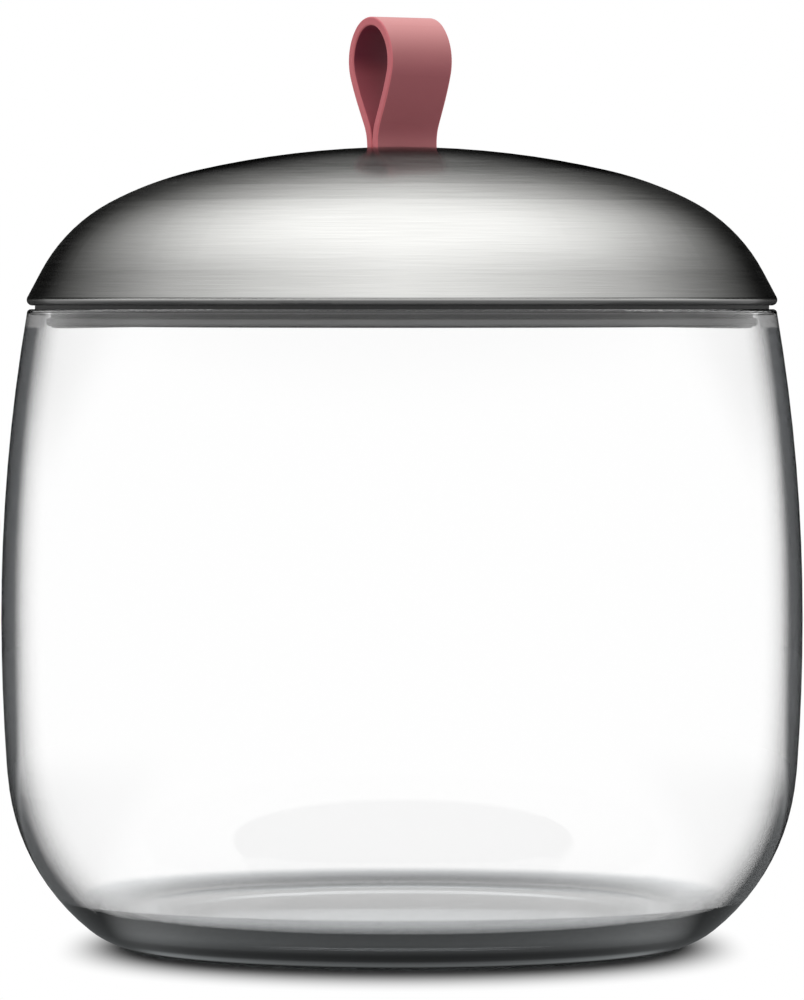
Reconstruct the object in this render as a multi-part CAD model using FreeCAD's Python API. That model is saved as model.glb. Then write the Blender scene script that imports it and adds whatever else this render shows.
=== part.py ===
"""Lidded glass jar for coffee capsules, in millimetres.

+Z is up and the origin is the middle of the base, on the table. The strap's loop opens
along X. Every piece is one function that returns a solid or a group of solids.
"""

import FreeCAD, Part
import math
import os

from FreeCAD import Vector

# Glass jar
jar_height = 123.2
glass_wall = 3.5
base_thickness = 6.0
floor_round = 15.0
bearing_radius = 50.4
bearing_width = 2.0
push_up = 1.4
rim_corner = 0.8
# Outside of the wall from the table to the rim: each arc's radius and the slope where it ends
base_round = (16.5, 39.0)
wall_rounds = [(42.0, 82.0), (72.0, 86.0), (400.0, 90.0), (350.0, 99.7)]

# Steel dome of the lid, with its arcs from the top outwards
lid_top = 154.5
crown_rounds = [(177.0, 13.0), (71.0, 22.0), (60.0, 28.5), (32.3, 62.0)]
hem_bottom = 123.9
hem_radius = 1.1
hem_return = 3.0
steel_thickness = 0.8

# Silicone pull strap
strap_width = 14.4
strap_thickness = 1.65
strap_edge_round = 0.35
leg_gap = 0.12
strap_end_reach = 9.0
slot_clearance = 0.15
slot_corner = 0.8
# Half of the loop from the lid to its top: angles from upright, outwards first
loop_start = 154.9
spread_radius = 9.6
spread_angle = 26.4
spread_run = 3.8
side_radius = 52.0
side_angle = 19.7
shoulder_radius = 8.54
shoulder_angle = 45.2
lean_angle = 2.0
lean_radius = 20.0

# Strap fixing under the top of the dome
anchor_length = 32.0
anchor_width = 22.0
anchor_corner = 3.0
anchor_bottom = 146.8
bend_radius = 1.2
plate_thickness = 1.5
stud_spacing = 24.0
stud_radius = 1.5
stud_tip = 1.4
stud_tip_chamfer = 0.3
stud_flange_radius = 2.7
stud_flange_drop = 2.1
hole_clearance = 0.2
fit_gap = 0.1
washer_radius = 3.5
washer_thickness = 0.5
nut_across_flats = 5.5
nut_height = 2.4
nut_corner_cut = 0.3
standoff_radius = 3.5
standoff_shank = 2.7
standoff_bottom = 132.0
standoff_thread_depth = 10.0

# Plastic liner that closes the lid
liner_bottom = 119.6
liner_floor = 2.1
liner_wall = 1.5
liner_draft = 1.0
liner_flange = 0.9
liner_flange_reach = 69.9
dish_depth = 0.8
dish_inner = 17.0
dish_outer = 58.0
dish_slope = 1.2
boss_radius = 6.5
boss_top_wall = 2.5
head_recess_radius = 4.5
hook_count = 6
hook_angle = 12.0
hook_height = 1.3
hook_gap = 0.5
hook_grip = 0.4
hook_lead_in = 0.6
rib_count = 6
rib_thickness = 1.2
rib_height = 3.2

# Silicone seal ring
seal_bore = 66.9
seal_lip_radius = 68.7
seal_lip_height = 1.35
seal_lip_bevel = 0.3
seal_body = 0.9
seal_flange_reach = 70.9
seal_retainer = 0.35

# Screw through the liner and the cap over it
screw_radius = 2.0
screw_head_radius = 3.8
screw_head_height = 2.6
screw_head_round = 1.2
screw_tip_gap = 1.5
cross_length = 4.2
cross_width = 0.9
cross_depth = 1.5
thread_clearance = 0.05
cap_radius = 7.5
cap_thickness = 1.3
cap_edge_round = 0.4
spigot_height = 3.0
spigot_wall = 0.9
spigot_split = 1.0

# Cutting tools reach this far past what they cut
over = 1.0

AXIS = Vector(0, 0, 1)
ORIGIN = Vector(0, 0, 0)


def point(radius, height):
    """A point of a section, in the XZ plane."""
    return Vector(radius, 0, height)


def cross(across, up):
    """A point of a section, in the YZ plane."""
    return Vector(0, across, up)


def line(first, last):
    return Part.LineSegment(first, last).toShape()


def arc(first, middle, last):
    return Part.Arc(first, middle, last).toShape()


def polyline(points):
    """Straight edges from each point to the next."""
    return [line(a, b) for a, b in zip(points, points[1:])]


def revolve(edges):
    """The solid that a closed section in the XZ plane sweeps out around Z."""
    wire = Part.Wire(Part.__sortEdges__(edges))
    turned = Part.Face(wire).revolve(ORIGIN, AXIS, 360)
    return Part.Solid(Part.Shell(turned.Faces))


def disc(radius, low, high, x=0.0):
    """An upright round bar, for a piece or for cutting a hole."""
    return Part.makeCylinder(radius, high - low, Vector(x, 0, low))


def ring(inner, outer, low, high):
    return disc(outer, low, high).cut(disc(inner, low, high))


def block_between(length, width, low, high):
    """A box centred on Z."""
    return Part.makeBox(length, width, high - low, Vector(-length / 2, -width / 2, low))


def circles_at(shape, height):
    """The round edges of a shape at a height."""
    return [
        e for e in shape.Edges
        if isinstance(e.Curve, Part.Circle) and abs(e.CenterOfMass.z - height) < 0.01
    ]


def rounded_plate(length, width, corner, low, high):
    """A plate centred on Z with round upright corners."""
    plate = block_between(length, width, low, high)
    upright = [e for e in plate.Edges if abs(e.tangentAt(e.FirstParameter).z) > 0.9]
    return plate.makeFillet(corner, upright)


def section_chain(start, heading, runs, shift=0.0, plane=point):
    """Edges of a smooth line of arcs and straights in a section.

    start is (across, up) and heading an angle from level. A run is (radius, new heading) or
    ("straight", length). shift moves the whole line to its left, as for the far face of a
    sheet. The end's place comes back with the edges.
    """
    angle = math.radians(heading)
    across = start[0] - shift * math.sin(angle)
    up = start[1] + shift * math.cos(angle)
    edges = []
    for size, value in runs:
        here = plane(across, up)
        if size == "straight":
            across += value * math.cos(angle)
            up += value * math.sin(angle)
            edges.append(line(here, plane(across, up)))
            continue
        end = math.radians(value)
        left = 1 if end > angle else -1
        radius = size - left * shift
        centre = (across - left * radius * math.sin(angle), up + left * radius * math.cos(angle))
        half = (angle + end) / 2
        middle, last = [
            (centre[0] + left * radius * math.sin(a), centre[1] - left * radius * math.cos(a))
            for a in (half, end)
        ]
        edges.append(arc(here, plane(*middle), plane(*last)))
        across, up = last
        angle = end
    return edges, (across, up)


# Glass jar


def jar_inside():
    """Start and runs of the inside: a round off the floor, then even with the outside."""
    radius, slope = base_round
    angle = math.radians(slope)
    wall_radius = wall_rounds[0][0]
    centre_across = bearing_radius + (radius - wall_radius) * math.sin(angle)
    centre_up = radius + (wall_radius - radius) * math.cos(angle)
    gap = wall_radius - glass_wall - floor_round
    drop = centre_up - base_thickness - floor_round
    side = math.sqrt(gap**2 - drop**2)
    turn = math.degrees(math.atan2(side, drop))
    runs = [(floor_round, turn)] + [(r - glass_wall, a) for r, a in wall_rounds]
    return (centre_across + side, base_thickness), runs


def make_glass_jar():
    outside, outer_end = section_chain((bearing_radius, 0), 0, [base_round] + wall_rounds)
    floor_edge, inner_runs = jar_inside()
    inside, inner_end = section_chain(floor_edge, 0, inner_runs)
    rim_bevel = rim_corner * (1 - math.sqrt(0.5))
    rim_outside = point(outer_end[0] - rim_corner, jar_height)
    rim_inside = point(inner_end[0] + rim_corner, jar_height)
    outer_corner = point(outer_end[0] - rim_bevel, jar_height - rim_bevel)
    inner_corner = point(inner_end[0] + rim_bevel, jar_height - rim_bevel)
    bearing_inner = bearing_radius - bearing_width
    rise = point(bearing_inner / 2, push_up * 0.75)
    section = outside + inside + [
        line(point(*outer_end), point(outer_end[0], jar_height - rim_corner)),
        arc(point(outer_end[0], jar_height - rim_corner), outer_corner, rim_outside),
        line(rim_outside, rim_inside),
        arc(rim_inside, inner_corner, point(inner_end[0], jar_height - rim_corner)),
        line(point(inner_end[0], jar_height - rim_corner), point(*inner_end)),
        line(point(*floor_edge), point(0, base_thickness)),
        line(point(0, base_thickness), point(0, push_up)),
        arc(point(0, push_up), rise, point(bearing_inner, 0)),
        line(point(bearing_inner, 0), point(bearing_radius, 0)),
    ]
    return revolve(section)


# Steel dome of the lid


def sheet_runs():
    """The sheet from its top, straight down the flare, to where the hem starts to roll."""
    runs = [(radius, -slope) for radius, slope in crown_rounds]
    slope = math.radians(crown_rounds[-1][1])
    flare_top = section_chain((0, lid_top), 0, runs)[1][1]
    hem_start = hem_bottom + hem_radius * (1 + math.cos(slope))
    return runs + [("straight", (flare_top - hem_start) / math.sin(slope))]


def hem_runs():
    """The half turn of the hem and the edge that runs back up inside the flare."""
    slope = crown_rounds[-1][1]
    return [(hem_radius, -slope - 180), ("straight", hem_return)]


def sheet_chain(runs, depth=0.0):
    """The sheet's outside or, at the steel's thickness deep, its inside."""
    return section_chain((0, lid_top), 0, runs, -depth)


def room_under_dome():
    """The space under the sheet, for cutting inner pieces to the dome's curve."""
    edges, end = sheet_chain(sheet_runs(), steel_thickness)
    foot = point(0, end[1])
    top = point(0, lid_top - steel_thickness)
    return revolve(edges + [line(point(*end), foot), line(foot, top)])


def slot_size():
    """Length and width of the slot that both legs of the strap pass through."""
    legs = 2 * strap_thickness + leg_gap
    return strap_width + 2 * slot_clearance, legs + 2 * slot_clearance


def make_lid_dome():
    runs = sheet_runs() + hem_runs()
    outside, outer_tip = sheet_chain(runs)
    inside, inner_tip = sheet_chain(runs, steel_thickness)
    section = outside + inside + [
        line(point(*outer_tip), point(*inner_tip)),
        line(point(0, lid_top - steel_thickness), point(0, lid_top)),
    ]
    length, width = slot_size()
    slot = rounded_plate(length, width, slot_corner, anchor_bottom, lid_top + over)
    return revolve(section).cut(slot)


# Silicone pull strap


def loop_top_radius(leg):
    """The radius that brings each half of the loop to its middle at the top."""
    spread, side, shoulder = [math.radians(a) for a in (spread_angle, side_angle, shoulder_angle)]
    reach = (
        leg
        + spread_radius * (1 - math.cos(spread))
        + spread_run * math.sin(spread)
        + side_radius * (math.cos(side) - math.cos(spread))
        + shoulder_radius * (math.cos(shoulder) - math.cos(side))
    )
    return reach / math.cos(shoulder)


def strap_runs():
    """The strip's middle line: in from the front end, up, round the loop, down and out."""
    leg = (strap_thickness + leg_gap) / 2
    bend = bend_radius + strap_thickness / 2
    level = anchor_bottom + strap_thickness / 2
    top_radius = loop_top_radius(leg)
    tail = ("straight", strap_end_reach - leg - bend)
    upright = ("straight", loop_start - level - bend - lean_radius * math.radians(lean_angle))
    up = 90 - lean_angle
    down = -90 - lean_angle
    loop = [
        (spread_radius, up + spread_angle),
        ("straight", spread_run),
        (side_radius, up + side_angle),
        (shoulder_radius, up - shoulder_angle),
        (top_radius, -lean_angle),
        (top_radius, down + shoulder_angle),
        (shoulder_radius, down - side_angle),
        (side_radius, down - spread_angle),
        ("straight", spread_run),
        (spread_radius, down),
    ]
    into = [tail, (bend, 90), upright, (lean_radius + leg, up)]
    out = [(lean_radius - leg, -90), upright, (bend, 0), tail]
    return (-strap_end_reach, level), into + loop + out


def make_pull_strap():
    start, runs = strap_runs()
    half = strap_thickness / 2
    upper, upper_end = section_chain(start, 0, runs, half, cross)
    lower, lower_end = section_chain(start, 0, runs, -half, cross)
    ends = [
        line(cross(start[0], start[1] + half), cross(start[0], start[1] - half)),
        line(cross(*upper_end), cross(*lower_end)),
    ]
    wire = Part.Wire(Part.__sortEdges__(upper + lower + ends))
    wire.translate(Vector(-strap_width / 2, 0, 0))
    strip = Part.Face(wire).extrude(Vector(strap_width, 0, 0))
    side_edges = [
        e for e in strip.Edges
        if e.BoundBox.XLength < 0.1 and abs(e.Length - strap_thickness) > 0.01
    ]
    return strip.makeFillet(strap_edge_round, side_edges)


# Strap fixing


def stud_places():
    return (-stud_spacing / 2, stud_spacing / 2)


def plate_low():
    return anchor_bottom - plate_thickness


def make_strap_anchor():
    """Block under the dome: slot for the legs, channel for the strap's ends, stud holes."""
    block = rounded_plate(anchor_length, anchor_width, anchor_corner, anchor_bottom, lid_top)
    block = block.common(room_under_dome())
    length, width = slot_size()
    block = block.cut(block_between(length, width, anchor_bottom - over, lid_top))
    channel_top = anchor_bottom + strap_thickness + thread_clearance
    channel = block_between(length, anchor_width + over, anchor_bottom - over, channel_top)
    block = block.cut(channel)
    lips = [
        e for e in block.Edges
        if abs(e.CenterOfMass.z - channel_top) < 0.01
        and abs(abs(e.CenterOfMass.y) - width / 2) < 0.01
        and abs(e.tangentAt(e.FirstParameter).x) > 0.9
    ]
    block = block.makeFillet(bend_radius - slot_clearance, lips)
    pocket_low = lid_top - stud_flange_drop - fit_gap
    for x in stud_places():
        block = block.cut(disc(stud_radius + hole_clearance, anchor_bottom - over, lid_top, x))
        block = block.cut(disc(stud_flange_radius + hole_clearance, pocket_low, lid_top, x))
    return block


def make_clamp_plate():
    low = plate_low()
    plate = rounded_plate(anchor_length, anchor_width, anchor_corner, low, anchor_bottom)
    for x in stud_places():
        plate = plate.cut(disc(stud_radius + hole_clearance, low - over, anchor_bottom + over, x))
    return plate.cut(disc(standoff_shank, low - over, anchor_bottom + over))


def make_weld_studs():
    """Two studs whose flanges follow the inside of the dome."""
    under_dome = room_under_dome()
    tip = plate_low() - washer_thickness - nut_height - stud_tip
    studs = []
    for x in stud_places():
        shank = disc(stud_radius, tip, lid_top, x)
        flange = disc(stud_flange_radius, lid_top - stud_flange_drop, lid_top, x)
        stud = shank.fuse(flange).common(under_dome)
        studs.append(stud.makeChamfer(stud_tip_chamfer, circles_at(stud, tip)))
    return Part.makeCompound(studs)


def one_on_each_stud(shape):
    """A group of two: the shape, made on the Z axis, moved to each stud."""
    group = []
    for x in stud_places():
        copy = shape.copy()
        copy.translate(Vector(x, 0, 0))
        group.append(copy)
    return Part.makeCompound(group)


def make_stud_washers():
    high = plate_low()
    low = high - washer_thickness
    return one_on_each_stud(ring(stud_radius + hole_clearance, washer_radius, low, high))


def make_stud_nuts():
    """Hexagon nuts whose corners are turned off at both ends."""
    high = plate_low() - washer_thickness
    low = high - nut_height
    reach = nut_across_flats / math.sqrt(3)
    turns = [math.radians(60 * i) for i in range(7)]
    corners = [Vector(reach * math.cos(t), reach * math.sin(t), low) for t in turns]
    bar = Part.Face(Part.makePolygon(corners)).extrude(Vector(0, 0, nut_height))
    turned = disc(reach, low, high)
    ends = circles_at(turned, low) + circles_at(turned, high)
    nut = bar.common(turned.makeChamfer(nut_corner_cut, ends))
    bore = disc(stud_radius + thread_clearance, low - over, high + over)
    return one_on_each_stud(nut.cut(bore))


def make_clinch_standoff():
    """Pillar whose shank is pressed flush into the clamp plate."""
    pillar = disc(standoff_radius, standoff_bottom, plate_low())
    shank = disc(standoff_shank, plate_low(), anchor_bottom)
    pillar = pillar.fuse(shank).removeSplitter()
    pillar = pillar.makeChamfer(stud_tip_chamfer, circles_at(pillar, standoff_bottom))
    thread_top = standoff_bottom + standoff_thread_depth
    return pillar.cut(disc(screw_radius + thread_clearance, standoff_bottom - over, thread_top))


# Plastic liner of the lid


def liner_walls():
    """Outer and inner radius of the wall that stands up inside the hem, and its top."""
    outer = seal_bore + seal_body + fit_gap
    tip_height = sheet_chain(sheet_runs() + hem_runs())[1][1]
    return outer, outer - liner_wall, tip_height + hook_gap + hook_height


def liner_section():
    outer_wall, inner_wall, wall_top = liner_walls()
    floor_top = liner_bottom + liner_floor
    dish_top = liner_bottom + dish_depth
    retainer_top = liner_bottom + seal_retainer
    flange_top = hem_bottom + liner_flange
    return polyline([
        point(0, liner_bottom),
        point(dish_inner, liner_bottom),
        point(dish_inner + dish_slope, dish_top),
        point(dish_outer, dish_top),
        point(dish_outer + dish_slope, liner_bottom),
        point(outer_wall - seal_retainer, liner_bottom),
        point(outer_wall, retainer_top),
        point(seal_bore, retainer_top),
        point(seal_bore, hem_bottom),
        point(liner_flange_reach, hem_bottom),
        point(liner_flange_reach, flange_top),
        point(outer_wall, flange_top),
        point(outer_wall, wall_top),
        point(inner_wall, wall_top),
        point(inner_wall - liner_draft, floor_top),
        point(boss_radius, floor_top),
        point(boss_radius, standoff_bottom),
        point(0, standoff_bottom),
        point(0, liner_bottom),
    ])


def make_lid_liner():
    """Disc with a dished underside, a groove for the seal, ribs, hooks and a screw boss."""
    liner = revolve(liner_section())
    for i in range(rib_count):
        liner = liner.fuse(liner_rib(360 / rib_count * (i + 0.5)))
    for i in range(hook_count):
        liner = liner.fuse(liner_hook(360 / hook_count * i))
    liner = liner.removeSplitter()
    seat = standoff_bottom - boss_top_wall
    cap_seat = liner_bottom + cap_thickness
    liner = liner.cut(disc(head_recess_radius, liner_bottom - over, seat))
    liner = liner.cut(disc(screw_radius + hole_clearance, liner_bottom, standoff_bottom + over))
    return liner.cut(disc(cap_radius + fit_gap, liner_bottom - over, cap_seat))


def liner_rib(turn):
    """A rib on top of the disc, from the boss out to the wall."""
    floor_top = liner_bottom + liner_floor
    length = liner_walls()[1] - boss_radius
    corner = Vector(boss_radius - fit_gap, -rib_thickness / 2, floor_top - fit_gap)
    rib = Part.makeBox(length, rib_thickness, rib_height, corner)
    rib.rotate(ORIGIN, AXIS, turn)
    return rib


def liner_hook(turn):
    """A short hook at the top of the wall that clips over the edge of the hem."""
    outer_wall, _, top = liner_walls()
    low = top - hook_height
    reach = sheet_chain(sheet_runs() + hem_runs())[1][0] + hook_grip
    whole = disc(reach, low, top)
    hook = whole.makeChamfer(hook_lead_in, circles_at(whole, top))
    hook = hook.cut(disc(outer_wall - fit_gap, low, top))
    half_width = reach * math.tan(math.radians(hook_angle / 2))
    outline = [
        Vector(0, 0, low),
        Vector(reach, -half_width, low),
        Vector(reach, half_width, low),
        Vector(0, 0, low),
    ]
    wedge = Part.Face(Part.makePolygon(outline)).extrude(Vector(0, 0, hook_height))
    hook = hook.common(wedge)
    hook.rotate(ORIGIN, AXIS, turn)
    return hook


def make_seal_ring():
    """Flange that lies on the glass rim, body in the liner's groove, wide lip in the mouth."""
    low = liner_bottom + seal_retainer
    lip_top = low + seal_lip_height
    body = seal_bore + seal_body
    section = polyline([
        point(seal_bore, low),
        point(seal_lip_radius - seal_lip_bevel, low),
        point(seal_lip_radius, low + seal_lip_bevel),
        point(seal_lip_radius, lip_top - seal_lip_bevel),
        point(seal_lip_radius - seal_lip_bevel, lip_top),
        point(body, lip_top + fit_gap),
        point(body, jar_height),
        point(seal_flange_reach, jar_height),
        point(seal_flange_reach, hem_bottom),
        point(seal_bore, hem_bottom),
        point(seal_bore, low),
    ])
    return revolve(section)


# Screw and cap in the middle of the liner


def make_liner_screw():
    """Pan-head screw with a cross recess."""
    seat = standoff_bottom - boss_top_wall
    head_low = seat - screw_head_height
    tip = standoff_bottom + standoff_thread_depth - screw_tip_gap
    head = disc(screw_head_radius, head_low, seat)
    head = head.makeFillet(screw_head_round, circles_at(head, head_low))
    screw = head.fuse(disc(screw_radius, seat, tip)).removeSplitter()
    for turn in (0, 90):
        arm = block_between(cross_length, cross_width, head_low - over, head_low + cross_depth)
        arm.rotate(ORIGIN, AXIS, turn)
        screw = screw.cut(arm)
    return screw


def make_screw_cap():
    """Disc in the liner's counterbore, held by a split spigot."""
    seat = liner_bottom + cap_thickness
    top = seat + spigot_height
    cap = disc(cap_radius, liner_bottom, seat)
    cap = cap.makeFillet(cap_edge_round, circles_at(cap, liner_bottom))
    outer = head_recess_radius - fit_gap
    spigot = ring(outer - spigot_wall, outer, seat - fit_gap, top)
    for turn in (0, 90):
        split = block_between(3 * outer, spigot_split, seat, top)
        split.rotate(ORIGIN, AXIS, turn)
        spigot = spigot.cut(split)
    return cap.fuse(spigot).removeSplitter()


PIECES = {
    "glass_jar": make_glass_jar,
    "lid_dome": make_lid_dome,
    "pull_strap": make_pull_strap,
    "strap_anchor": make_strap_anchor,
    "clamp_plate": make_clamp_plate,
    "weld_studs": make_weld_studs,
    "stud_washers": make_stud_washers,
    "stud_nuts": make_stud_nuts,
    "clinch_standoff": make_clinch_standoff,
    "lid_liner": make_lid_liner,
    "seal_ring": make_seal_ring,
    "liner_screw": make_liner_screw,
    "screw_cap": make_screw_cap,
}


def main():
    os.makedirs("parts", exist_ok=True)
    for node, make in PIECES.items():
        shape = make()
        shape.exportStep(f"parts/{node}.step")
        box = shape.optimalBoundingBox()
        print(
            f"{node}: {len(shape.Solids)} solid(s), valid {shape.isValid()}, "
            f"volume {shape.Volume / 1000:.2f} cm3, z {box.ZMin:.2f} to {box.ZMax:.2f}, "
            f"reach {box.XMax:.2f}"
        )


main()
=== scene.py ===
"""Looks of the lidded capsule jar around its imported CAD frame, in metres.

The stage and the camera come first, then the materials, and last each piece gets its own.
"""

import math

import bpy
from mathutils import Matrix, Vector

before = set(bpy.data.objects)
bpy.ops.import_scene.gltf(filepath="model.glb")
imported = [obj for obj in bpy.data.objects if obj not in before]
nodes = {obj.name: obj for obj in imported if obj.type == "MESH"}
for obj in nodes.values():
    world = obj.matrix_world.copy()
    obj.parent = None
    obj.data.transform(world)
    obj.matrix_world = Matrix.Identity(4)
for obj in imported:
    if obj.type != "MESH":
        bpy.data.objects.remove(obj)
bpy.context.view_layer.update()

# Camera, at the photograph's place
camera_azimuth = -35.5
camera_distance = 1.4
eye_height = 0.124
tilt_down = 1.543
focal_length = 260.6
sensor_width = 36
sight_end = 100

# Light of the room, overhead and at the horizon, and the plain white that is seen behind all
studio_zenith = 1.45
studio_horizon = 0.08
backdrop = 1.0

# Floor: half its side, how far it lies below the jar's foot, and how pale it is in the open, near
# the jar and under it, with the radii between which the jar's foot ends. Near the jar and under it
# the floor is painted darker: a painted shadow that deepens the object's own
floor_half = 12.0
floor_drop = 0.0001
floor_open = 0.45
floor_painted_shadow_near = 0.35
floor_painted_shadow_under = 0.12
foot_end = (0.050, 0.0525)
# Radii between which the shaded floor turns plain white: in line with the camera, and beside that
shade_in_line = (0.058, 0.098)
shade_beside = (0.053, 0.0675)

# What the glass's outside mirrors of the floor, outwards from the foot: nearly black, a bright line,
# a dim ring, and open floor that adds to the ring, with the radii between which each starts. These
# are a painted reflection: the floor glows so for these rays only, and its cloth is as dark for them
# as mirror_shade says
mirror_foot = 0.02
mirror_line = 0.45
mirror_ring = 0.18
mirror_open = 0.85
mirror_line_from = (0.0530, 0.0548)
mirror_ring_from = (0.0556, 0.0570)
mirror_open_from = (0.0580, 0.0625)
mirror_shade = 0.05
# Beyond these angles from the camera's side the painted reflection is dim instead: how bright, and out
# to which radii
mirror_front = (45.0, 75.0)
mirror_aside = 0.10
mirror_aside_end = (0.15, 0.4)

# How brightly the floor glows through glass, as a painted glow: in the middle, further out and under
# the foot, with the radii between which one turns into the next. Last, the glow's colour, mirrored as
# well
through_middle = 0.34
through_inner = 0.18
through_foot = 0.06
through_inner_from = (0.010, 0.045)
through_foot_from = (0.047, 0.051)
glow_colour = (0.93, 0.98, 1, 1)

# Tent of cloth that only reflections see. Its pairs are elevations in degrees, behind the object
# and in front of it: dark below, full light above, and the low white band's fade
tent_radius = 1.1
tent_rings = 24
tent_sides = 64
tent_zenith = 1.5
tent_dark_below = (19.5, 17.0)
tent_bright_above = (70.0, 75.0)
band_full_below = (6.0, 16.0)
band_gone_above = (12.0, 24.0)
# Angles from the camera's side between which the tent's front turns into its back
tent_front = (80, 125)
# Share of its light that the tent loses towards both sides, and at the corners between
tent_side_loss = 1.0
tent_side_power = 4.0
tent_corner_loss = 0.6

# Black card on the floor behind the object: the angles between which it fades out to both sides,
# and the sector that its mesh spans
card_fade = (36.0, 46.0)
card_half_angle = 50
card_step = 10
card_reach = 1.2
card_height = -0.00005
card_shade = 0.02


def direction(azimuth, elevation=0.0):
    """The way from the middle to an azimuth, which is 0 at -Y and 90 at +X."""
    a, e = math.radians(azimuth), math.radians(elevation)
    return Vector((math.sin(a) * math.cos(e), -math.cos(a) * math.cos(e), math.sin(e)))


def cosine(degrees):
    return math.cos(math.radians(degrees))


def sine(degrees):
    return math.sin(math.radians(degrees))


def grey(value):
    return (value, value, value, 1.0)


class Nodes:
    """A node tree that is filled by short calls."""

    def __init__(self, tree):
        self.tree = tree
        tree.nodes.clear()

    def put(self, socket, value):
        """Links a socket to a node or to its output, or sets the socket to a constant."""
        if isinstance(value, bpy.types.NodeSocket):
            self.tree.links.new(value, socket)
        elif isinstance(value, bpy.types.Node):
            self.tree.links.new(value.outputs[0], socket)
        else:
            socket.default_value = value

    def add(self, kind, **settings):
        """A node. A setting is one of its properties, or the value or link of an input."""
        node = self.tree.nodes.new(kind)
        late = {}
        for key, value in settings.items():
            if hasattr(node, key):
                setattr(node, key, value)
            else:
                late[key] = value
        for key, value in late.items():
            self.put(node.inputs[key.replace("_", " ")], value)
        return node

    def fill(self, node, values):
        """Puts values into a node's inputs, in their order."""
        for socket, value in zip(node.inputs, values):
            self.put(socket, value)
        return node

    def math(self, operation, *values):
        return self.fill(self.add("ShaderNodeMath", operation=operation), values).outputs[0]

    def times(self, first, second):
        return self.math("MULTIPLY", first, second)

    def minus(self, first, second):
        return self.math("SUBTRACT", first, second)

    def vector(self, operation, *values):
        """A step of vector maths. DOT_PRODUCT and LENGTH give a plain number."""
        node = self.fill(self.add("ShaderNodeVectorMath", operation=operation), values)
        return node.outputs["Value" if operation in ("DOT_PRODUCT", "LENGTH") else "Vector"]

    def scaled(self, vector, factor):
        node = self.add("ShaderNodeVectorMath", operation="SCALE", Vector=vector, Scale=factor)
        return node.outputs["Vector"]

    def ramp(self, value, low, high, start=0.0, end=1.0, smooth=True):
        """value mapped from low..high to start..end, and held beyond."""
        node = self.add("ShaderNodeMapRange")
        if smooth:
            node.interpolation_type = "SMOOTHSTEP"
        return self.fill(node, (value, low, high, start, end)).outputs[0]

    def mix(self, factor, first, second, **settings):
        """first at factor 0, second at factor 1: colours, or what data_type says."""
        node = self.add("ShaderNodeMix", **{"data_type": "RGBA", **settings})
        for name, value in (("Factor", factor), ("A", first), ("B", second)):
            self.put(node.inputs[name], value)
        return node.outputs["Result"]

    def mix_shaders(self, factor, first, second):
        return self.fill(self.add("ShaderNodeMixShader"), (factor, first, second))

    def noise(self, vector, scale, detail=2.0, roughness=0.5):
        node = self.add(
            "ShaderNodeTexNoise", Vector=vector, Scale=scale, Detail=detail, Roughness=roughness
        )
        return node.outputs["Fac"]

    def vary(self, noise, low, high):
        """low..high over most of what a noise spans."""
        return self.ramp(noise, 0.3, 0.7, low, high, smooth=False)

    def bump(self, height, strength, distance, normal=None):
        node = self.add("ShaderNodeBump", Height=height, Strength=strength, Distance=distance)
        if normal is not None:
            self.put(node.inputs["Normal"], normal)
        return node.outputs[0]

    def place(self):
        """Where a point lies in its object."""
        return self.add("ShaderNodeTexCoord").outputs["Object"]

    def part(self, vector, axis):
        return self.add("ShaderNodeSeparateXYZ", Vector=vector).outputs[axis]

    def facing(self, **normal):
        """0 where the surface, or the normal that is given, faces the eye, and 1 at grazing."""
        return self.add("ShaderNodeLayerWeight", Blend=0.5, **normal).outputs["Facing"]

    def emission(self, colour, strength):
        return self.add("ShaderNodeEmission", Color=colour, Strength=strength)

    def show(self, surface, **volume):
        """Makes a shader the material's surface, and a volume its inside."""
        self.add("ShaderNodeOutputMaterial", Surface=surface, **volume)


def material(name):
    """A new material and its nodes."""
    made = bpy.data.materials.new(name)
    made.use_nodes = True
    return made, Nodes(made.node_tree)


# Camera and stage


def make_camera():
    camera = bpy.data.objects.new("camera", bpy.data.cameras.new("camera"))
    bpy.context.scene.collection.objects.link(camera)
    camera.location = direction(camera_azimuth) * camera_distance + Vector((0, 0, eye_height))
    camera.rotation_euler = (math.radians(90 - tilt_down), 0, math.radians(camera_azimuth))
    camera.data.lens = focal_length
    camera.data.sensor_width = sensor_width
    camera.data.clip_end = sight_end
    bpy.context.scene.camera = camera


def seen(tree, path):
    """1 for the rays that show a background: to the camera, in reflections and through glass."""
    kinds = [path["Is Camera Ray"], path["Is Glossy Ray"]]
    any_of = tree.math("MAXIMUM", tree.math("MAXIMUM", *kinds), path["Is Transmission Ray"])
    return tree.times(any_of, tree.math("LESS_THAN", path["Diffuse Depth"], 0.5))


def along(tree, way, azimuth):
    """How far a vector reaches towards an azimuth."""
    return tree.vector("DOT_PRODUCT", way, direction(azimuth))


def make_world():
    """Soft light that grows towards the zenith, with plain white where it is seen."""
    world = bpy.data.worlds.new("studio")
    bpy.context.scene.world = world
    world.use_nodes = True
    tree = Nodes(world.node_tree)
    up = tree.part(tree.add("ShaderNodeTexCoord").outputs["Generated"], "Z")
    light = tree.ramp(up, 0, 1, studio_horizon, studio_zenith, smooth=False)
    path = tree.add("ShaderNodeLightPath").outputs
    lit, white = [
        tree.add("ShaderNodeBackground", Color=grey(1), Strength=strength)
        for strength in (light, backdrop)
    ]
    shown = tree.mix_shaders(seen(tree, path), lit, white)
    tree.add("ShaderNodeOutputWorld", Surface=shown)


def stage_mesh(name, points, faces, made):
    mesh = bpy.data.meshes.new(name)
    mesh.from_pydata(points, [], faces)
    mesh.materials.append(made)
    shown = bpy.data.objects.new(name, mesh)
    bpy.context.scene.collection.objects.link(shown)
    return shown


def glossy_only(shown):
    """Keeps a piece of the stage to reflections."""
    shown.visible_camera = False
    shown.visible_diffuse = False
    shown.visible_transmission = False
    shown.visible_shadow = False
    shown.visible_volume_scatter = False


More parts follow.
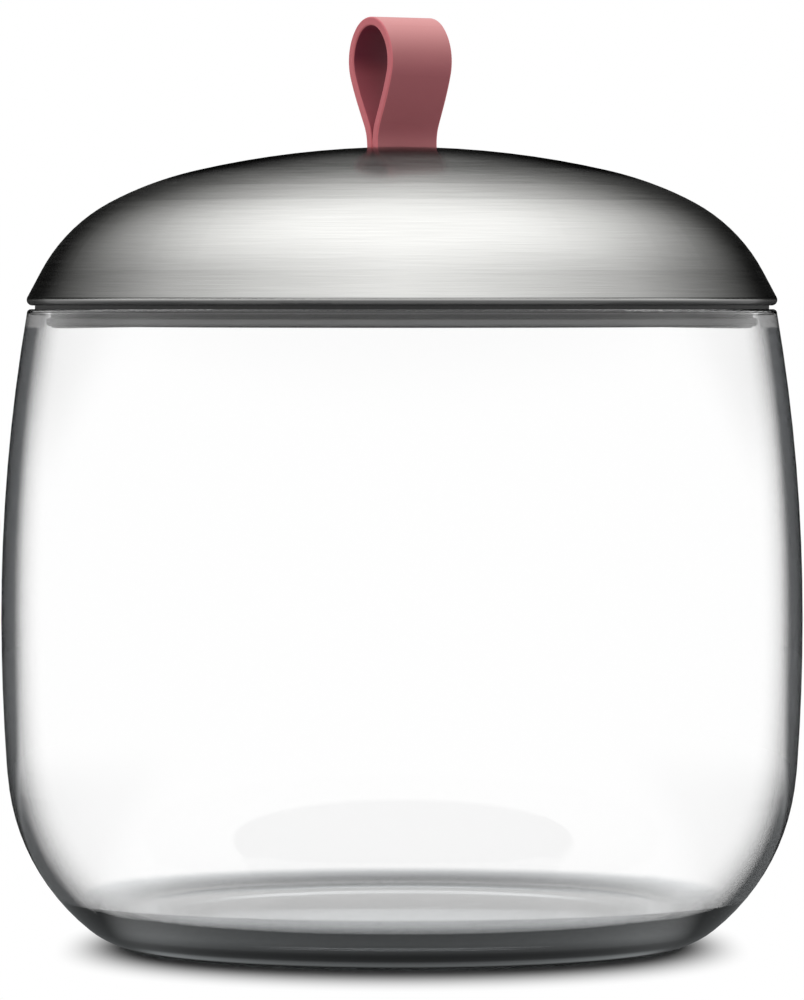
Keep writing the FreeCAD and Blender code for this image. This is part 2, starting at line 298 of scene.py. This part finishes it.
def painted_floor_reflection(tree, distance, front):
    """Painted glow of the floor that only the glass's outside mirrors, by radius: a painted reflection.
    front is 1 before it.
    """
    line = tree.ramp(distance, *mirror_ring_from, mirror_line, mirror_ring)
    line = tree.ramp(front, 0, 1, mirror_aside, line)
    foot = tree.ramp(distance, *mirror_line_from, mirror_foot, line)
    beyond = tree.ramp(distance, *mirror_open_from, 0, tree.times(front, mirror_open))
    return tree.math("ADD", foot, beyond)


def painted_floor_glow_through_glass(tree, distance):
    """Painted glow of the floor seen through the glass, by radius."""
    inner = tree.ramp(distance, *through_inner_from, through_middle, through_inner)
    return tree.ramp(distance, *through_foot_from, inner, through_foot)


def floor_material():
    """White floor, with the object's shadow near it deepened by a painted shadow, and a painted glow
    that only glass shows.
    """
    made, tree = material("floor_white")
    place = tree.place()
    distance = tree.vector("LENGTH", place)
    path = tree.add("ShaderNodeLightPath").outputs

    beside = tree.math("DIVIDE", along(tree, place, camera_azimuth + 90), distance)
    share = tree.times(beside, beside)
    start, end = [
        tree.ramp(share, 0, 1, in_line, aside, smooth=False)
        for in_line, aside in zip(shade_in_line, shade_beside)
    ]
    open_floor = tree.ramp(distance, start, end)

    outside = tree.math("LESS_THAN", path["Transmission Depth"], 0.5)
    mirrored = tree.times(path["Is Glossy Ray"], outside)
    front = tree.math("DIVIDE", along(tree, place, camera_azimuth), distance)
    front = tree.ramp(front, cosine(mirror_front[1]), cosine(mirror_front[0]))
    # The painted reflection is dim beside and behind the jar
    dim = tree.times(mirrored, tree.minus(1.0, front))
    dim = tree.times(dim, tree.ramp(distance, *mirror_aside_end, 1, 0))

    # Painted reflection: the floor glows for the glass's outside only
    glow = tree.times(mirrored, painted_floor_reflection(tree, distance, front))
    # Painted glow: the floor glows only for rays through the glass
    through = tree.times(path["Is Transmission Ray"], painted_floor_glow_through_glass(tree, distance))
    # Painted shadow: the floor's cloth is darker near the jar and under it
    shade = tree.mix(tree.ramp(distance, *foot_end), grey(floor_painted_shadow_under), grey(floor_painted_shadow_near))
    shade = tree.mix(open_floor, shade, grey(floor_open))
    # Painted reflection: the cloth is darker for mirrored rays
    shade = tree.mix(mirrored, shade, grey(mirror_shade))
    shade = tree.mix(path["Is Transmission Ray"], shade, grey(0))
    near = tree.fill(
        tree.add("ShaderNodeAddShader"),
        (
            tree.add("ShaderNodeBsdfDiffuse", Color=shade),
            tree.emission(glow_colour, tree.math("ADD", glow, through)),
        ),
    )
    white_share = tree.times(open_floor, tree.minus(seen(tree, path), dim))
    tree.show(tree.mix_shaders(white_share, near, tree.emission(grey(1), backdrop)))
    return made


def make_floor():
    corners = ((-1, -1), (1, -1), (1, 1), (-1, 1))
    points = [(x * floor_half, y * floor_half, -floor_drop) for x, y in corners]
    stage_mesh("floor", points, [(0, 1, 2, 3)], floor_material())


def card_gap(tree, way):
    """0 towards the black card behind the object, and 1 elsewhere."""
    behind = along(tree, way, camera_azimuth + 180)
    return tree.ramp(behind, cosine(card_fade[1]), cosine(card_fade[0]), 1, 0)


def tent_material():
    """Cloth that metal and glass reflect: bright overhead, with a low white band over the floor."""
    made, tree = material("tent_cloth")
    way = tree.vector("NORMALIZE", tree.place())
    up = tree.part(way, "Z")
    ahead = along(tree, way, camera_azimuth)
    front = tree.ramp(ahead, cosine(tent_front[1]), cosine(tent_front[0]))

    def height_of(elevations):
        """Sine of an elevation that differs behind the object and in front of it."""
        return tree.ramp(front, 0, 1, sine(elevations[0]), sine(elevations[1]), smooth=False)

    dark, bright = height_of(tent_dark_below), height_of(tent_bright_above)
    top = tree.ramp(up, dark, bright, 0, tent_zenith, smooth=False)
    beside = along(tree, way, camera_azimuth + 90)
    corner = tree.times(tree.math("ABSOLUTE", tree.times(ahead, beside)), tent_corner_loss)
    side = tree.math("POWER", tree.math("ABSOLUTE", beside), tent_side_power)
    side = tree.times(side, tent_side_loss)
    left = tree.minus(1.0, tree.math("ADD", side, corner))
    top = tree.times(top, tree.math("MAXIMUM", left, 0.0))

    band = tree.ramp(up, height_of(band_full_below), height_of(band_gone_above), 1, 0)
    band = tree.times(band, card_gap(tree, way))
    tree.show(tree.emission(grey(1), tree.math("ADD", top, band)))
    return made


def make_tent():
    """A dome of quads, closed by a ring of triangles."""
    points = [
        direction(360 * i / tent_sides, 90 * j / tent_rings) * tent_radius
        for j in range(tent_rings)
        for i in range(tent_sides)
    ]
    points.append(Vector((0, 0, tent_radius)))
    rows = [range(j * tent_sides, (j + 1) * tent_sides) for j in range(tent_rings)]
    around = [(i, (i + 1) % tent_sides) for i in range(tent_sides)]
    faces = [
        (lower[i], lower[n], upper[n], upper[i])
        for lower, upper in zip(rows, rows[1:])
        for i, n in around
    ]
    faces += [(rows[-1][i], rows[-1][n], len(points) - 1) for i, n in around]
    glossy_only(stage_mesh("tent", points, faces, tent_material()))


def card_material():
    """Black card with soft edges."""
    made, tree = material("black_card")
    clear = card_gap(tree, tree.vector("NORMALIZE", tree.place()))
    black = tree.emission(grey(card_shade), 1.0)
    tree.show(tree.mix_shaders(clear, black, tree.add("ShaderNodeBsdfTransparent")))
    return made


def make_card():
    """A sector of the floor behind the object that reflections see as black."""
    middle = Vector((0, 0, card_height))
    turns = range(-card_half_angle, card_half_angle + 1, card_step)
    rim = [direction(camera_azimuth + 180 + turn) * card_reach + middle for turn in turns]
    faces = [(0, i, i + 1) for i in range(1, len(rim))]
    glossy_only(stage_mesh("black_card", [middle] + rim, faces, card_material()))


# Materials


def principled(tree, volume=None, **settings):
    """Makes a Principled shader the material's surface, with a volume inside where one is given."""
    shader = tree.add("ShaderNodeBsdfPrincipled", **settings)
    if volume is None:
        tree.show(shader)
    else:
        tree.show(shader, Volume=volume)


def round_parts(tree):
    """A place on a round piece: its way out from the Z axis, its distance from it and its height."""
    place = tree.place()
    flat = tree.vector("MULTIPLY", place, (1, 1, 0))
    return tree.vector("NORMALIZE", flat), tree.vector("LENGTH", flat), tree.part(place, "Z")


def turned_normal(tree, radial, outwards, upwards):
    """A vector that points outwards and upwards by two lengths."""
    up = tree.add("ShaderNodeCombineXYZ", Z=upwards)
    return tree.vector("ADD", tree.scaled(radial, outwards), up)


def true_normal(tree, where, exact):
    """The mesh's normal, or an exact one on the same side where the mesh's is uneven."""
    given = tree.add("ShaderNodeNewGeometry").outputs["Normal"]
    side = tree.math("SIGN", tree.vector("DOT_PRODUCT", exact, given))
    turned = tree.scaled(tree.vector("NORMALIZE", exact), side)
    return tree.mix(where, given, turned, data_type="VECTOR")


def ring_place(tree, around, across):
    """A texture place that runs slowly around the Z axis and fast along a meridian."""
    parts = tree.add("ShaderNodeSeparateXYZ", Vector=tree.place()).outputs
    squares = [tree.times(parts[axis], parts[axis]) for axis in "XY"]
    radius = tree.math("SQRT", tree.math("ADD", *squares))
    safe = tree.math("MAXIMUM", radius, 1e-5)
    x, y = [tree.times(tree.math("DIVIDE", parts[axis], safe), around) for axis in "XY"]
    z = tree.times(tree.minus(radius, parts["Z"]), across)
    return tree.add("ShaderNodeCombineXYZ", X=x, Y=y, Z=z).outputs[0]


# Brushed steel of the lid: its fine and broad streaks around the lid and across it
fine_streaks = (5.0, 5200)
broad_streaks = (2.0, 1500)
fine_share = 0.7
# Where the streaks turn from dark to light, and the two colours
streak_turn = (0.35, 0.65)
steel_dark = (0.60, 0.60, 0.585, 1)
steel_light = (0.68, 0.68, 0.665, 1)
# Heights between which the lid's bright side turns into its hem, which is painted dark as painted
# shade, and the hem's colour and metallic
hem_height = (0.1246, 0.1253)
hem_painted_shade = 0.16
hem_metallic = 0.4
# The lid's crest is glossier at grazing: how far turned from the eye, at which heights, and how much
crest_turn = (0.80, 0.96)
crest_height = (0.146, 0.151)
crest_gloss = 0.5
# The hem's roll: the radius and height of its middle, how far out its outer skin starts, how high
# the straight flare above it reaches, and how much the flare's normal rises on its way out
hem_centre = (0.07138, 0.125)
hem_skin = 0.0009
flare_top = 0.13046
flare_rise = 0.5317


def hem_normal(tree):
    """The exact normal of the hem's roll and of the flare above it, and where those are."""
    radial, radius, height = round_parts(tree)
    out_of_roll = tree.minus(radius, hem_centre[0])
    over_roll = tree.minus(height, hem_centre[1])
    flare = tree.times(out_of_roll, flare_rise)
    exact = turned_normal(tree, radial, out_of_roll, tree.math("MINIMUM", over_roll, flare))
    outer = tree.math("GREATER_THAN", tree.vector("LENGTH", exact), hem_skin)
    return exact, tree.times(outer, tree.math("LESS_THAN", height, flare_top))


def brushed_steel():
    """Stainless steel brushed in rings: fine streaks in colour, roughness and relief, and a hem painted
    dark as painted shade.
    """
    made, tree = material("brushed_steel")
    height = tree.part(tree.place(), "Z")
    fine = tree.noise(ring_place(tree, *fine_streaks), 1.0, detail=3, roughness=0.6)
    broad = tree.noise(ring_place(tree, *broad_streaks), 1.0)
    streak = tree.math("ADD", tree.times(fine, fine_share), tree.times(broad, 1 - fine_share))
    light = tree.ramp(streak, *streak_turn, smooth=False)
    colour = tree.mix(light, steel_dark, steel_light)
    # The hem is painted dark by height: painted shade
    hem = tree.ramp(height, *hem_height, 1, 0)
    crest = tree.times(tree.ramp(tree.facing(), *crest_turn), tree.ramp(height, *crest_height))
    gloss = tree.ramp(crest, 0, 1, 1, crest_gloss)
    exact, rolled = hem_normal(tree)
    normal = true_normal(tree, rolled, exact)
    principled(
        tree,
        Base_Color=tree.mix(hem, colour, grey(hem_painted_shade)),
        Metallic=tree.ramp(hem, 0, 1, 1, hem_metallic),
        Roughness=tree.times(tree.vary(streak, 0.17, 0.25), gloss),
        Specular_Tint=grey(0.1),
        Anisotropic=0.6,
        Anisotropic_Rotation=0.25,
        Tangent=tree.add("ShaderNodeTangent", direction_type="RADIAL", axis="Z"),
        Normal=tree.bump(fine, strength=0.3, distance=0.00002, normal=normal),
    )
    return made


# Silicone, of seal and strap: the grain of its skin
silicone_grain = 4200
# Heights between which the seal's foot turns into its side, that into its top, and that into its
# flange. The side has the silicone's own dark grey; the foot and the top are painted pale as painted
# highlights, and the flange is painted darker as painted shade in the gap under the lid
seal_foot = (0.1210, 0.1216)
seal_top = (0.1222, 0.1226)
seal_flange = (0.1230, 0.1232)
seal_side_shade = 0.16
seal_painted_highlight = (0.46, 0.52)
seal_painted_flange_shade = 0.06


def ring_silicone():
    """Grey silicone of the seal: a painted highlight on its foot and top, its own dark grey on its side,
    and painted shade on its flange.
    """
    made, tree = material("grey_silicone")
    place = tree.place()
    height = tree.part(place, "Z")
    skin = tree.noise(place, silicone_grain, roughness=0.6)
    # Painted highlight on the foot and the top, painted shade on the flange
    foot = tree.ramp(height, *seal_foot, 1, 0)
    lit = tree.math("MAXIMUM", foot, tree.ramp(height, *seal_top))
    light = tree.mix(skin, *[grey(shade) for shade in seal_painted_highlight])
    lip = tree.mix(lit, grey(seal_side_shade), light)
    flange = tree.ramp(height, *seal_flange, 1, 0)
    principled(
        tree,
        Base_Color=tree.mix(flange, grey(seal_painted_flange_shade), lip),
        Roughness=tree.vary(skin, 0.5, 0.6),
        Normal=tree.bump(skin, strength=0.3, distance=0.00002),
    )
    return made


# The strap: how far from its middle plane its cut edges start, the middle of its loop, and how far
# a face has to look towards that to be inside the loop. Then its colours: its sides in two tones
# that vary, the top painted paler as painted light from above, the inside of the loop painted dark
# as painted shade, and the cut edges painted pale as a painted highlight. Last, how far up its faces
# look where they turn paler, outside the loop and inside it
strap_edge = (0.0068, 0.0070)
loop_middle = (0, 0, 0.1685)
loop_inside = -0.0005
strap_side = [(0.40, 0.10, 0.12, 1), (0.45, 0.11, 0.13, 1)]
strap_painted_top_light = (0.80, 0.31, 0.31, 1)
strap_painted_inside_shade = [(0.22, 0.02, 0.05, 1), (0.46, 0.10, 0.13, 1)]
strap_painted_cut_highlight = (0.80, 0.19, 0.22, 1)
outside_turn = (-0.35, 0.85)
inside_turn = (-0.2, 0.4)


def pink_silicone():
    """Matt dusty pink silicone: painted paler towards its top and on its cut edges as painted light, and
    painted dark deep inside the loop as painted shade.
    """
    made, tree = material("pink_silicone")
    place = tree.place()
    skin = tree.noise(place, silicone_grain, roughness=0.6)
    clouds = tree.noise(place, scale=60, detail=3)
    normal = tree.add("ShaderNodeNewGeometry").outputs["Normal"]
    up = tree.part(normal, "Z")
    # Painted light: the sides turn paler as a face looks up
    colour = tree.mix(tree.ramp(up, *outside_turn), tree.mix(clouds, *strap_side), strap_painted_top_light)
    # Painted shade inside the loop
    loop = tree.mix(tree.ramp(up, *inside_turn), *strap_painted_inside_shade)
    from_middle = tree.vector("SUBTRACT", place, loop_middle)
    looks_out = tree.vector("DOT_PRODUCT", normal, from_middle)
    colour = tree.mix(tree.math("LESS_THAN", looks_out, loop_inside), colour, loop)
    # Painted highlight on the cut edges
    cut = tree.ramp(tree.math("ABSOLUTE", tree.part(place, "X")), *strap_edge)
    principled(
        tree,
        Base_Color=tree.mix(cut, colour, strap_painted_cut_highlight),
        Roughness=tree.vary(skin, 0.45, 0.55),
        Specular_IOR_Level=0.5,
        Sheen_Weight=0.06,
        Sheen_Roughness=0.4,
        Normal=tree.bump(skin, strength=0.3, distance=0.00002),
    )
    return made


# Glass: where its edge starts to darken and is darkest, from 0 where it faces the eye to 1 at
# grazing, in the wall and at the heel; the darkening is painted shade. Heights between which the
# heel turns into the wall
edge_from = (0.56, 0.505)
edge_to = (0.77, 0.793)
wall_painted_edge_shade = (0.03, 0.032, 0.034, 1)
heel_painted_edge_shade = (0.006, 0.0064, 0.0068, 1)
heel_height = (0.015, 0.050)
# Heights between which the rim's own rounding no longer darkens the edge
rim_edge = (0.110, 0.118)
# The thick rim where it bends the view past the seal's side, painted darker as painted shade:
# heights, turn from the eye and shade. Then the heights where its pale top starts, and the top's
# painted shade
rim_foot = (0.1196, 0.1199)
rim_turn = (0.66, 0.71)
rim_painted_shade = 0.18
rim_top = (0.1224, 0.1227)
rim_top_painted_shade = 0.95
# The thick base is tinted as thick glass and darkened as painted shade, most, nearly black, in the
# wall that is nearer to the eye: the heights between which the tint ends, and its colour. That wall
# is where the surface looks outwards this much
base_height = (0.0055, 0.0075)
base_tint_and_painted_shade = (0.56, 0.59, 0.61, 1)
near_base_height = (0.0045, 0.0115)
near_base_painted_shade = (0.02, 0.021, 0.022, 1)
near_turn = (0.0, 0.4)
# Heights between which the rim's ground top starts
rim_ground = (0.1227, 0.1229)
# Middles of the rim's two rounded corners: their radii, their height, and how far below that the
# even normal starts
corner_radii = (0.06979, 0.07164)
corner_height = 0.1224
corner_margin = 0.0001
# The wall's round above the heel and its flat one above that: the radius and the middle's height of
# each. Then how softly one runs into the other, and the middle and half height of that stretch
glass_wall = 0.0035
wall_rounds = [(0.042, 0.036317), (0.400, 0.063373)]
wall_blend = 0.28
bend_height = 0.0335
bend_half = 0.0125
# Tint of the glass's inside
glass_body = (0.55, 0.58, 0.58, 1)
glass_density = 2.0


def painted_edge_shade(tree, radial, height):
    """Painted shade on the glass: darker where it turns from the eye, and in the rim beyond the seal's
    side.
    """
    given = tree.facing()
    upright = tree.facing(Normal=radial)
    change = tree.times(tree.minus(upright, given), tree.ramp(height, *rim_edge))
    facing = tree.math("ADD", given, change)
    heel = tree.ramp(height, *heel_height, 1, 0)
    start, end = [tree.ramp(heel, 0, 1, *pair, smooth=False) for pair in (edge_from, edge_to)]
    darkest = tree.mix(heel, wall_painted_edge_shade, heel_painted_edge_shade)
    edge = tree.mix(tree.ramp(facing, start, end), grey(1), darkest)
    beyond_seal = tree.times(tree.ramp(height, *rim_foot), tree.ramp(facing, *rim_turn))
    edge = tree.mix(beyond_seal, edge, grey(rim_painted_shade))
    return tree.mix(tree.ramp(height, *rim_top), edge, grey(rim_top_painted_shade))


def glass_tint_and_painted_shade(tree, radial, height, outwards):
    """Colour of the glass: its painted dark edge, in the wall that is nearer to the eye, times its thick
    base's tint and painted shade.
    """
    near = tree.ramp(outwards, *near_turn)
    far_base, near_base = [
        tree.mix(tree.ramp(height, *heights, 1, 0), grey(1), colour)
        for heights, colour in ((base_height, base_tint_and_painted_shade), (near_base_height, near_base_painted_shade))
    ]
    edge = tree.mix(near, grey(1), painted_edge_shade(tree, radial, height))
    return tree.mix(1.0, edge, tree.mix(near, far_base, near_base), blend_type="MULTIPLY")


def corner_normal(tree, radial, radius, over_corner):
    """Normal of the rim's rounded corners, and of the flat between them."""
    level = tree.math("MINIMUM", tree.math("MAXIMUM", radius, corner_radii[0]), corner_radii[1])
    upwards = tree.math("MAXIMUM", over_corner, 0.0)
    return turned_normal(tree, radial, tree.minus(radius, level), upwards)


def bend_normal(tree, radial, height, outwards, backfacing):
    """Normal of the wall, with its round above the heel running softly into its flat one."""
    outer = tree.minus(tree.math("GREATER_THAN", outwards, 0.0), backfacing)
    inner = tree.minus(1.0, tree.math("ABSOLUTE", outer))
    thickness = tree.times(inner, glass_wall)
    rises = [
        tree.math("DIVIDE", tree.minus(height, middle), tree.minus(size, thickness))
        for size, middle in wall_rounds
    ]
    rise = tree.math("SMOOTH_MIN", *rises, wall_blend)
    across = tree.math("SQRT", tree.minus(1.0, tree.times(rise, rise)))
    return turned_normal(tree, radial, across, rise)


def glass_normal(tree, radial, radius, height, outwards, backfacing):
    """The mesh's normal, made even at the rim's corners and over the wall's bend."""
    over_corner = tree.minus(height, corner_height)
    rounded = tree.math("GREATER_THAN", over_corner, -corner_margin)
    from_bend = tree.math("ABSOLUTE", tree.minus(height, bend_height))
    bent = tree.math("LESS_THAN", from_bend, bend_half)
    corner = corner_normal(tree, radial, radius, over_corner)
    bend = bend_normal(tree, radial, height, outwards, backfacing)
    even = tree.mix(rounded, bend, corner)
    return true_normal(tree, tree.math("MAXIMUM", rounded, bent), even)


def clear_glass():
    """Pressed glass, with a faint wave in its surface, a grey edge and base painted as shade, and a
    ground rim.
    """
    made, tree = material("clear_glass")
    place = tree.place()
    radial, radius, height = round_parts(tree)
    geometry = tree.add("ShaderNodeNewGeometry").outputs
    outwards = tree.vector("DOT_PRODUCT", geometry["Normal"], radial)
    wave = tree.noise(place, scale=26, detail=1, roughness=0.4)
    grain = tree.noise(place, scale=2500)
    ground = tree.ramp(height, *rim_ground)
    normal = glass_normal(tree, radial, radius, height, outwards, geometry["Backfacing"])
    normal = tree.bump(wave, strength=0.02, distance=0.0003, normal=normal)
    principled(
        tree,
        Base_Color=glass_tint_and_painted_shade(tree, radial, height, outwards),
        Roughness=0.0,
        IOR=1.5,
        Transmission_Weight=1.0,
        Normal=tree.bump(grain, strength=ground, distance=0.0003, normal=normal),
        volume=tree.add("ShaderNodeVolumeAbsorption", Color=glass_body, Density=glass_density),
    )
    return made


def plastic(name, dark, light, rough=0.5, spread=0.06):
    """Moulded plastic with a fine matt grain."""
    made, tree = material(name)
    place = tree.place()
    grain = tree.noise(place, scale=2600, roughness=0.6)
    clouds = tree.noise(place, scale=90)
    principled(
        tree,
        Base_Color=tree.mix(clouds, grey(dark), grey(light)),
        Roughness=tree.vary(grain, rough - spread, rough + spread),
        Normal=tree.bump(grain, strength=0.25, distance=0.00003),
    )
    return made


# Bright steel of the small pieces: its lines around the axis and across it
turned_lines = (2.0, 9000)
turned_dark = (0.55, 0.55, 0.54, 1)
turned_light = (0.68, 0.68, 0.67, 1)


def turned_steel():
    """Bright steel of small turned and rolled pieces."""
    made, tree = material("turned_steel")
    lines = tree.noise(ring_place(tree, *turned_lines), 1.0, roughness=0.6)
    principled(
        tree,
        Base_Color=tree.mix(lines, turned_dark, turned_light),
        Metallic=1.0,
        Roughness=tree.vary(lines, 0.22, 0.34),
        Normal=tree.bump(lines, strength=0.2, distance=0.00001),
    )
    return made


def dress():
    """Gives every CAD node its material."""
    fasteners = turned_steel()
    grey_plastic = plastic("grey_plastic", 0.15, 0.18)
    wear = {
        "glass_jar": clear_glass(),
        "lid_dome": brushed_steel(),
        "pull_strap": pink_silicone(),
        "seal_ring": ring_silicone(),
        "lid_liner": grey_plastic,
        "screw_cap": grey_plastic,
        "strap_anchor": plastic("black_plastic", 0.02, 0.035),
    }
    for name, node in nodes.items():
        node.data.materials.clear()
        node.data.materials.append(wear.get(name, fasteners))


make_camera()
make_world()
make_floor()
make_tent()
make_card()
dress()

bpy.context.scene.view_settings.view_transform = "Standard"
